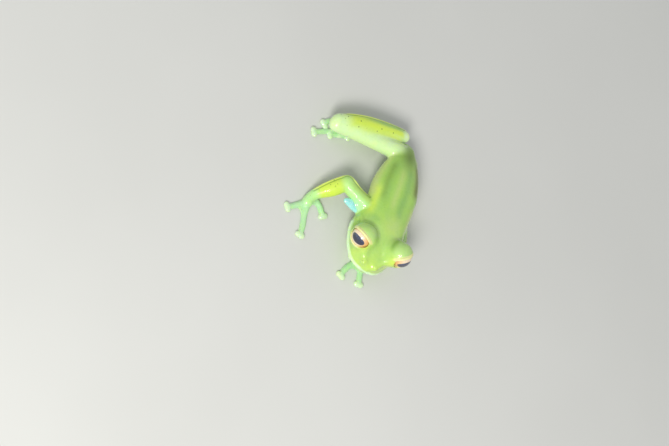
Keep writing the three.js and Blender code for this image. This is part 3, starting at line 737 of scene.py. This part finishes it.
def shape_face(grid, name, side):
    """The brow, eye bulge, nostril, ear, ear fold and lids of one side of the head."""
    mirror = np.array((side, 1, 1))
    middle, axes = eye_place(name)
    brow = Blob(on_head(mirror * BROW["at"]), BROW["radii"], across(turned((0, -1, 0)))[[0, 2, 1]])
    grid.add(brow, 0.6)
    bulge = Blob(middle - EYE_BULGE["behind"] * axes[2], EYE_BULGE["radius"])
    parts["bulge_" + name] = [bulge]
    grid.add(bulge, around(BULGE_JOIN, middle + 2.6 * turned((side * 0.5, 0.85, 0))))

    # The nostril on its mound, and the ridge from the eye to it
    nostril = on_head(mirror * NOSTRIL["at"])
    corner = middle + 1.2 * axes[2] - 0.9 * side * axes[0]
    ridge = [corner, (middle + nostril) / 2 + (0, 0, 0.1), nostril]
    grid.add(Tube(ridge, [0.4, 0.3, 0.22]), 1.0)
    grid.add(Blob(nostril, NOSTRIL["mound"]), 0.35)
    outward = unit(turned(mirror * NOSTRIL["facing"]))
    grid.cut(Blob(nostril + NOSTRIL["mound"] * outward, NOSTRIL["pit"]), 0.08)

    # The ear drum with its rim, and the fold from behind the eye over it
    drum, facing = on_head(mirror * EAR["at"]), across(turned(mirror * EAR["facing"]))
    grid.cut(Blob(drum + 0.12 * facing[2], (EAR["radius"], EAR["radius"], 0.14), facing), 0.15)
    turns = np.linspace(0, 2 * math.pi, 25)
    rim = [drum + EAR["radius"] * (math.cos(t) * facing[0] + math.sin(t) * facing[1]) for t in turns]
    grid.add(Tube(rim, np.full(len(rim), EAR["rim"]), count=33), 0.16, margin=0.4)
    fold = [on_head(mirror * point) for point in EAR_FOLD["points"]]
    grid.add(Tube(fold, EAR_FOLD["radii"]), 0.3, margin=0.5)

    grid.cut(Opening(name), 0.14)
    parts["lid_" + name] = [lid_rim(name)]
    grid.add(parts["lid_" + name][0], 0.1, margin=0.4)


# Colours of the skin
def nearest(name, places):
    """The distance of each place from a part's nearest shape."""
    return np.min([shape(*places) for shape in parts[name]], axis=0)


def passed(points, start, end):
    """How far along the way from start to end each point is, from 0 to 1 between them."""
    start, end = np.array(start), np.array(end)
    return (points - start) @ (end - start) / ((end - start) @ (end - start))


def wash(layer, value, mask):
    """A colour laid over a layer of colours where the mask is above nought."""
    layer[:] = layer + (np.array(value) - layer) * np.clip(mask, 0, 1)[:, None]


def paint_trunk(trunk, places, normals):
    """The colours of the trunk and head, from snout to rump, laid over the layer."""
    x, y, z = places
    half, _, level, _ = Body().sizes(y)
    lateral = np.clip(x / half, -1.2, 1.2)
    up = normals[:, 2]

    def stripe(middle, width, start, end):
        """How near each point is to a stripe along the back, at a share of the half width."""
        along = smooth(start, start + 2, y) * (1 - smooth(end - 2, end, y))
        return along * np.exp(-((lateral - middle) / width) ** 2)

    def shade(value, mask):
        wash(trunk, value, mask)

    shade(HEAD_LIME, 1 - smooth(6.5, 10.5, y))
    shade(GREY_GREEN, 0.8 * stripe(0.22, 0.18, 9, 20) + 0.4 * stripe(-0.5, 0.14, 10, 20))
    # The first tan stripe here, just right of the middle of the back, is a painted highlight along the crown
    # of the back
    shade(TAN, 0.45 * stripe(-0.15, 0.13, 10, 19) + 0.6 * stripe(0.85, 0.15, 8, 14))
    shade(OLIVE, 0.4 * stripe(-0.66, 0.13, 11, 20))
    shade(YELLOW, 0.9 * stripe(-0.87, 0.13, 8.0, 15))
    # Painted highlight: a pale tan band along the edge of the right flank, which faces the key light
    shade(TAN, 0.9 * stripe(-1.0, 0.12, 11, 22.5))
    # Painted shade: a brown band along the left flank, the side turned away from the key light
    shade(LEFT_FLANK_SHADE, stripe(0.7, 0.2, 14, 21.5))
    shade(TAN, 0.45 * np.exp(-((x - 0.6) / 1.6) ** 2 - ((y - 8.4) / 1.8) ** 2) * smooth(0.2, 0.6, up))
    # Painted shade: a grey-green patch in the crease behind the right eye
    shade(GREY_GREEN, 0.5 * np.exp(-((x + 2.6) / 1.0) ** 2 - ((y - 8.3) / 0.6) ** 2))
    shade(YELLOW, 0.35 * np.exp(-((y - 0.9) / 1.3) ** 2) * smooth(-0.3, 0.3, up))
    shade(YELLOW, 0.75 * np.exp(-((np.abs(x + 0.2) - 2.6) / 0.6) ** 2 - ((y - 2.9) / 0.7) ** 2))
    shade(PALE, 0.9 * (1 - smooth(-0.7, 0.0, z - level)))
    shade(BELLY, smooth(0.2, 0.8, -up) * smooth(6, 9, y))


def paint_eyes(colour, places):
    """The lips, the lids and painted shade in the creases round the eyes, laid over the colour."""
    y = places[1]
    wide = 0.25 + 0.35 * smooth(1.5, 5.0, y)
    wash(colour, LIP_PALE, 1 - smooth(0.0, 1.0, (nearest("lip", places) - 0.05) / wide))
    for name in SIDES:
        bulge = nearest("bulge_" + name, places)
        rim = nearest("lid_" + name, places)
        wash(colour, PALE, 0.4 * (1 - smooth(-0.1, 0.15, bulge)))
        # Painted shade: darker green in the crease behind each eye bulge
        crease_shade = np.exp(-((bulge - 0.12) / 0.14) ** 2)
        wash(colour, CREASE_SHADE, 0.6 * crease_shade * smooth(3.6, 5.2, y) * smooth(0.2, 0.5, bulge + 0.4))
        wash(colour, LID, 1 - smooth(0.02, 0.2, rim))
        edge, depth = Opening(name).edge(*places)
        wash(colour, LID_EDGE, (1 - smooth(-0.14, -0.03, edge)) * smooth(0.2, 0.4, depth) * (bulge < 0.4))


def paint(points, normals):
    """The skin's colour at each point, and how strongly it is flecked."""
    places = points.astype(np.float32).T
    x, y, z = places
    up, front = normals[:, 2], -normals[:, 1]
    names = ["body"]
    for side in SIDES:
        names += [part + side for part in (*LIMB_PARTS, "knee_")]
    share = {name: np.exp(-np.maximum(nearest(name, places), 0) / 0.22) for name in names}
    total = sum(share.values())
    share = {name: value / total for name, value in share.items()}

    colour = np.zeros((len(points), 3))

    def ground(name, value):
        colour[:] += share[name][:, None] * value

    trunk = np.tile(np.array(LIME), (len(points), 1))
    paint_trunk(trunk, places, normals)
    ground("body", trunk)

    # The limbs, with the discs
    for name in SIDES:
        at = LIMBS[name]
        ground("upper_arm_" + name, between(HEAD_LIME, MINT, smooth(-0.2, 0.6, front)[:, None]))
        along = passed(points, at["elbow"], at["wrist"])[:, None]
        yellow = smooth(-0.1, 0.25, along) * (1 - smooth(0.75, 1.0, along))
        ground("forearm_" + name, between(MINT, YELLOW, yellow))
        ground("hand_" + name, np.array(HAND))
        ground("thigh_" + name, np.array(PALE))
        along = passed(points, at["knee_start"], at["heel_end"])
        lime = (smooth(0.1, 0.5, -front) * smooth(0.2, 0.6, along))[:, None]
        pale = np.maximum(smooth(0.1, 0.7, front), 1 - smooth(-0.02, 0.2, along))
        pale = np.maximum(pale, smooth(0.9, 1.0, along))[:, None]
        ground("shank_" + name, between(between(YELLOW, LIME, lime), PALE, pale))
        ground("tarsus_" + name, np.array(MINT))
        ground("foot_" + name, np.array(HAND))
        ground("knee_" + name, np.array(PALE))
        for pad in parts["hand_" + name] + parts["foot_" + name]:
            if isinstance(pad, Blob):
                wash(colour, DISC_WHITE, 0.8 * (1 - smooth(-0.1, 0.25, pad(*places))))

    # Painted shade on the rump, which runs over onto the hips
    rump_shade = np.exp(-((x - 0.1) / 1.5) ** 2 - ((y - 21.2) / 2.4) ** 2)
    wash(colour, OLIVE, 0.9 * rump_shade * smooth(0.0, 0.4, up))

    # The skin over the spines' roots
    for name in SIDES:
        root = Blob(LIMBS[name]["spine"][1], 0.6)
        near_root = 1 - smooth(0.0, 1.3, root(*places))
        wash(colour, ROOT_MINT, 0.7 * near_root * (share["upper_arm_" + name] > 0.3))

    # The folds along the limbs with painted shade in the groove beside each, and painted highlights on the
    # knobs of knee and heel
    for name in SIDES:
        fold = nearest("fold_" + name, places)
        wash(colour, FOLD_SHADE, 0.75 * np.exp(-((fold - 0.17) / 0.09) ** 2) * smooth(0.35, 0.75, up))
        wash(colour, FOLD_YELLOW, 0.8 * (1 - smooth(0.0, 0.1, fold)))
        for joint in ("heel_end", "knee_end"):
            knob_highlight = Blob(LIMBS[name][joint], LEG["heel"])
            wash(colour, DISC_WHITE, 0.55 * (1 - smooth(-0.1, 0.3, knob_highlight(*places))))

    paint_eyes(colour, places)
    flecks = 0.8 * (share["shank_right"] + share["shank_left"]) + 0.5 * share["forearm_right"]
    flecks += 0.12 * share["body"] * smooth(0, 0.5, up) * smooth(8, 12, y)
    return np.clip(colour, 0, 1), flecks


# Materials
class Nodes:
    """Short ways to add and join nodes of one material."""

    def __init__(self, name):
        self.material = bpy.data.materials.new(name)
        self.material.use_nodes = True
        self.tree = self.material.node_tree
        self.tree.nodes.clear()
        out = self.tree.nodes.new("ShaderNodeOutputMaterial")
        self.shader = self.tree.nodes.new("ShaderNodeBsdfPrincipled")
        self.tree.links.new(self.shader.outputs["BSDF"], out.inputs["Surface"])
        self.coordinates = self.tree.nodes.new("ShaderNodeTexCoord")

    def new(self, kind, **inputs):
        node = self.tree.nodes.new("ShaderNode" + kind)
        for key, value in inputs.items():
            self.plug(node, key.replace("_", " "), value)
        return node

    def plug(self, node, socket, value):
        if isinstance(value, bpy.types.NodeSocket):
            self.tree.links.new(value, node.inputs[socket])
        else:
            node.inputs[socket].default_value = value

    def noise(self, scale, detail=2.0, roughness=0.5):
        node = self.new("TexNoise", Scale=scale, Detail=detail, Roughness=roughness)
        self.plug(node, "Vector", self.place())
        return node.outputs["Fac"]

    def place(self):
        return self.coordinates.outputs["Object"]

    def ramp(self, value, low, high, first=0.0, last=1.0):
        node = self.new("MapRange")
        node.interpolation_type = "SMOOTHSTEP"
        for socket, given in (("Value", value), ("From Min", low), ("From Max", high), ("To Min", first),
                              ("To Max", last)):
            self.plug(node, socket, given)
        return node.outputs["Result"]

    def math(self, operation, first, second=0.0):
        node = self.tree.nodes.new("ShaderNodeMath")
        node.operation = operation
        self.plug(node, 0, first)
        self.plug(node, 1, second)
        return node.outputs[0]

    def mix(self, share, first, second, kind="MIX"):
        node = self.tree.nodes.new("ShaderNodeMix")
        node.data_type, node.blend_type = "RGBA", kind
        self.plug(node, 0, share)
        for index, value in ((6, first), (7, second)):
            self.plug(node, index, (*value, 1.0) if isinstance(value, tuple) and len(value) == 3 else value)
        return node.outputs[2]

    def attribute(self, name, kind="Color"):
        node = self.tree.nodes.new("ShaderNodeAttribute")
        node.attribute_name = name
        return node.outputs[kind]

    def bump(self, height, distance, strength=1.0, normal=None):
        node = self.new("Bump", Height=height, Distance=distance, Strength=strength)
        if normal is not None:
            self.plug(node, "Normal", normal)
        return node.outputs["Normal"]

    def finish(self, **sockets):
        for key, value in sockets.items():
            self.plug(self.shader, key.replace("_", " "), value)
        return self.material


def skin_material():
    n = Nodes("wet_lime_skin")
    tint = n.attribute("tint")
    broad, fine, grain = n.noise(700, 3), n.noise(2600, 3), n.noise(11000, 2)
    tint = n.mix(n.ramp(broad, 0.35, 0.7, 0.0, 0.35), tint, n.mix(1.0, tint, (1.12, 1.06, 0.7), "MULTIPLY"))
    tint = n.mix(n.ramp(fine, 0.4, 0.75, 0.0, 0.3), tint, n.mix(1.0, tint, (0.78, 0.9, 0.7), "MULTIPLY"))
    tint = n.mix(n.ramp(grain, 0.35, 0.65, 0.0, 0.25), tint, n.mix(1.0, tint, (0.86, 0.92, 0.8), "MULTIPLY"))

    cells = n.new("TexVoronoi", Scale=1300.0, Vector=n.place())
    thinned = n.math("GREATER_THAN", n.ramp(n.noise(900, 1), 0.3, 0.7), 0.5)
    dots = n.math("MULTIPLY", n.ramp(cells.outputs["Distance"], 0.1, 0.2, 1.0, 0.0), thinned)
    dots = n.math("MULTIPLY", dots, n.attribute("flecks", "Fac"))
    tint = n.mix(dots, tint, (0.10, 0.22, 0.02))

    relief = n.bump(n.noise(5200, 3), 0.00003, 0.5)
    relief = n.bump(n.noise(1600, 2), 0.00008, 0.35, relief)
    wet = n.bump(n.noise(2300, 2), 0.00012, 0.45)
    rough = n.ramp(fine, 0.3, 0.7, 0.3, 0.42)
    return n.finish(Base_Color=tint, Roughness=rough, Normal=relief, IOR=1.4, Coat_Weight=0.9,
                    Coat_Roughness=0.05, Coat_IOR=1.36, Coat_Normal=wet, Subsurface_Weight=0.35,
                    Subsurface_Scale=0.0006, Subsurface_Radius=(0.9, 1.0, 0.35))


def eye_material(name, front):
    """A pale iris that is more orange in front, round a dark level pupil with a painted blue-grey reflection
    over its upper part.
    """
    n = Nodes("wet_eye_" + name)
    split = n.new("SeparateXYZ", Vector=n.place())
    u = n.math("DIVIDE", split.outputs[0], MM)
    w = n.math("DIVIDE", split.outputs[1], MM)
    wobble = n.math("MULTIPLY", n.math("SUBTRACT", n.noise(1800, 2), 0.5), 0.1)

    def oval(half_length, half_height):
        """1 along the edge of an oval, less inside it and more outside."""
        squares = [n.math("POWER", n.math("DIVIDE", offset, half), 2.0)
                   for offset, half in ((u, half_length), (w, half_height))]
        return n.math("ADD", n.math("SQRT", n.math("ADD", *squares)), wobble)

    radial = n.noise(3200, 4, 0.6)
    iris = n.mix(n.ramp(radial, 0.35, 0.65), (0.90, 0.68, 0.46), (0.93, 0.82, 0.60))
    iris = n.mix(n.ramp(n.math("MULTIPLY", u, front), 0.3, 1.4), iris, (0.85, 0.47, 0.16))
    iris = n.mix(n.ramp(oval(1.6, 1.22), 0.85, 1.05, 0.0, 0.7), iris, (0.75, 0.33, 0.10))
    iris = n.mix(n.ramp(oval(1.62, 1.26), 0.95, 1.06), iris, (0.06, 0.02, 0.01))
    pupil = n.ramp(oval(1.27, 0.68), 0.93, 1.0, 1.0, 0.0)
    # Painted reflection: the pupil turns blue-grey towards its upper edge
    painted_reflection = n.ramp(w, -0.1, 0.6, 0.0, n.ramp(radial, 0.3, 0.6))
    colour = n.mix(pupil, iris, n.mix(painted_reflection, (0.012, 0.014, 0.045), (0.10, 0.12, 0.20)))
    return n.finish(Base_Color=colour, Roughness=0.25, Coat_Weight=1.0, Coat_Roughness=0.03, Coat_IOR=1.6,
                    Normal=n.bump(n.noise(3000, 3), 0.00002, 0.1))


def spine_material():
    n = Nodes("turquoise_spine")
    cloud, grain = n.noise(900, 3), n.noise(6000, 2)
    colour = n.mix(n.ramp(cloud, 0.3, 0.7), (0.30, 0.74, 0.72), (0.42, 0.86, 0.84))
    colour = n.mix(n.ramp(grain, 0.4, 0.7, 0.0, 0.3), colour, (0.62, 0.95, 0.92))
    return n.finish(Base_Color=colour, Roughness=n.ramp(grain, 0.3, 0.7, 0.2, 0.35), Coat_Weight=0.5,
                    Coat_Roughness=0.08, Subsurface_Weight=0.3, Subsurface_Scale=0.0004,
                    Subsurface_Radius=(0.4, 1.0, 0.9), Normal=n.bump(cloud, 0.00004, 0.15))


def floor_material():
    n = Nodes("pale_floor")
    cloud = n.noise(18, 3)
    colour = n.mix(n.ramp(cloud, 0.3, 0.7), (0.66, 0.66, 0.63), (0.69, 0.69, 0.66))
    return n.finish(Base_Color=colour, Roughness=0.75)


# The skin
grid = build_skin()
points, faces = grid.surface()
normals = grid.slopes(points)
normals /= np.maximum(np.linalg.norm(normals, axis=1, keepdims=True), 1e-6)
skin = make_mesh("skin", points, faces)
colour, flecks = paint(points, normals)
tint = skin.data.attributes.new("tint", "FLOAT_COLOR", "POINT")
tint.data.foreach_set("color", np.column_stack([colour, np.ones(len(colour))]).astype(np.float32).ravel())
mask = skin.data.attributes.new("flecks", "FLOAT", "POINT")
mask.data.foreach_set("value", flecks.astype(np.float32))
skin.data.materials.append(skin_material())
flesh = ["head", "torso"]
for side in SIDES:
    flesh += [part + side for part in LIMB_PARTS]
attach(skin, "root")
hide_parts(*flesh)


# The eyes
def eyeball_rings():
    """Points and faces of an eyeball about its own middle, in metres, with the line of sight up."""
    spots, quads = [], []
    for i in range(EYE_RINGS + 1):
        tilt = math.pi * (i + 0.02) / (EYE_RINGS + 0.04)
        stretch = EYE_CORNEA if tilt < math.pi / 2 else EYE_RADIUS
        for j in range(EYE_SIDES):
            turn = 2 * math.pi * j / EYE_SIDES
            out = EYE_RADIUS * math.sin(tilt)
            spot = (out * math.cos(turn), out * math.sin(turn), stretch * math.cos(tilt))
            spots.append(tuple(c * MM for c in spot))
            if i < EYE_RINGS:
                a, b = i * EYE_SIDES + j, i * EYE_SIDES + (j + 1) % EYE_SIDES
                quads.append((a, a + EYE_SIDES, b + EYE_SIDES, b))
    last = range(EYE_RINGS * EYE_SIDES, (EYE_RINGS + 1) * EYE_SIDES)
    return spots, [*quads, tuple(range(EYE_SIDES)), tuple(reversed(last))]


spots, quads = eyeball_rings()
for name, side in SIDES.items():
    middle, axes = eye_place(name)
    mesh = bpy.data.meshes.new("eyeball_" + name)
    mesh.from_pydata(spots, [], quads)
    mesh.polygons.foreach_set("use_smooth", np.ones(len(mesh.polygons), bool))
    eyeball = add_object("eyeball_" + name, mesh)
    place = Matrix([[*row, 0] for row in axes.T] + [[0, 0, 0, 1]])
    place.translation = Vector((middle - FOOTPRINT) * MM)
    eyeball.matrix_world = place
    mesh.materials.append(eye_material(name, -side))
    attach(eyeball, "root")
    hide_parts("eye_" + name)

# The spines of the upper arms
spine_look = spine_material()
for name in SIDES:
    horn = Tube(LIMBS[name]["spine"], SPINE_RADII, flat=0.7, count=16)
    low, high = horn.reach(0.4)
    small = Grid(low, high, SPINE_STEP)
    small.add(horn, 0.02)
    small.above_floor()
    spots, quads = small.surface()
    spine = make_mesh("arm_spine_" + name, spots, quads)
    spine.data.materials.append(spine_look)
    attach(spine, "root")
    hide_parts("humeral_spine_" + name)

# The floor
floor_mesh = bpy.data.meshes.new("floor")
floor_corners = [(x * FLOOR_REACH, y * FLOOR_REACH, 0) for x, y in ((-1, -1), (1, -1), (1, 1), (-1, 1))]
floor_mesh.from_pydata(floor_corners, [], [(0, 1, 2, 3)])
floor_mesh.materials.append(floor_material())
floor = add_object("floor", floor_mesh)
floor.location.z = -FLOOR_GAP


# Light
def area_light(name, direction, distance, size, power, colour):
    light = bpy.data.lights.new(name, "AREA")
    light.size, light.energy, light.color = size, power, colour
    lamp = add_object(name, light)
    outward = Vector(direction).normalized()
    lamp.location = outward * distance
    lamp.rotation_mode = "QUATERNION"
    lamp.rotation_quaternion = outward.to_track_quat("Z", "Y")


area_light("key", (-0.27, -0.70, 0.68), 0.3, 0.09, 0.66, (1.0, 0.99, 0.95))
area_light("fill", (-0.8, 0.1, 0.7), 0.35, 0.3, 0.12, (0.95, 0.98, 1.0))
area_light("back", (0.6, 0.75, 0.5), 0.35, 0.3, 0.1, (1.0, 1.0, 0.96))
world = bpy.data.worlds.new("studio")
world.use_nodes = True
world.node_tree.nodes["Background"].inputs["Color"].default_value = (0.9, 0.92, 0.95, 1)
world.node_tree.nodes["Background"].inputs["Strength"].default_value = 0.45
bpy.context.scene.world = world
bpy.context.scene.view_settings.view_transform = "Standard"

# Camera
camera_data = bpy.data.cameras.new("camera")
camera_data.sensor_width = SENSOR_MM
camera_data.lens = LENS_MM
camera_data.clip_start, camera_data.clip_end = 0.01, 10
camera = add_object("camera", camera_data)
right, away = Vector(CAMERA_RIGHT).normalized(), Vector(CAMERA_AWAY).normalized()
up = right.cross(away).normalized()
right = away.cross(up)
camera.matrix_world = Matrix([*zip(right, up, -away, CAMERA_AT), (0, 0, 0, 1)])
bpy.context.scene.camera = camera
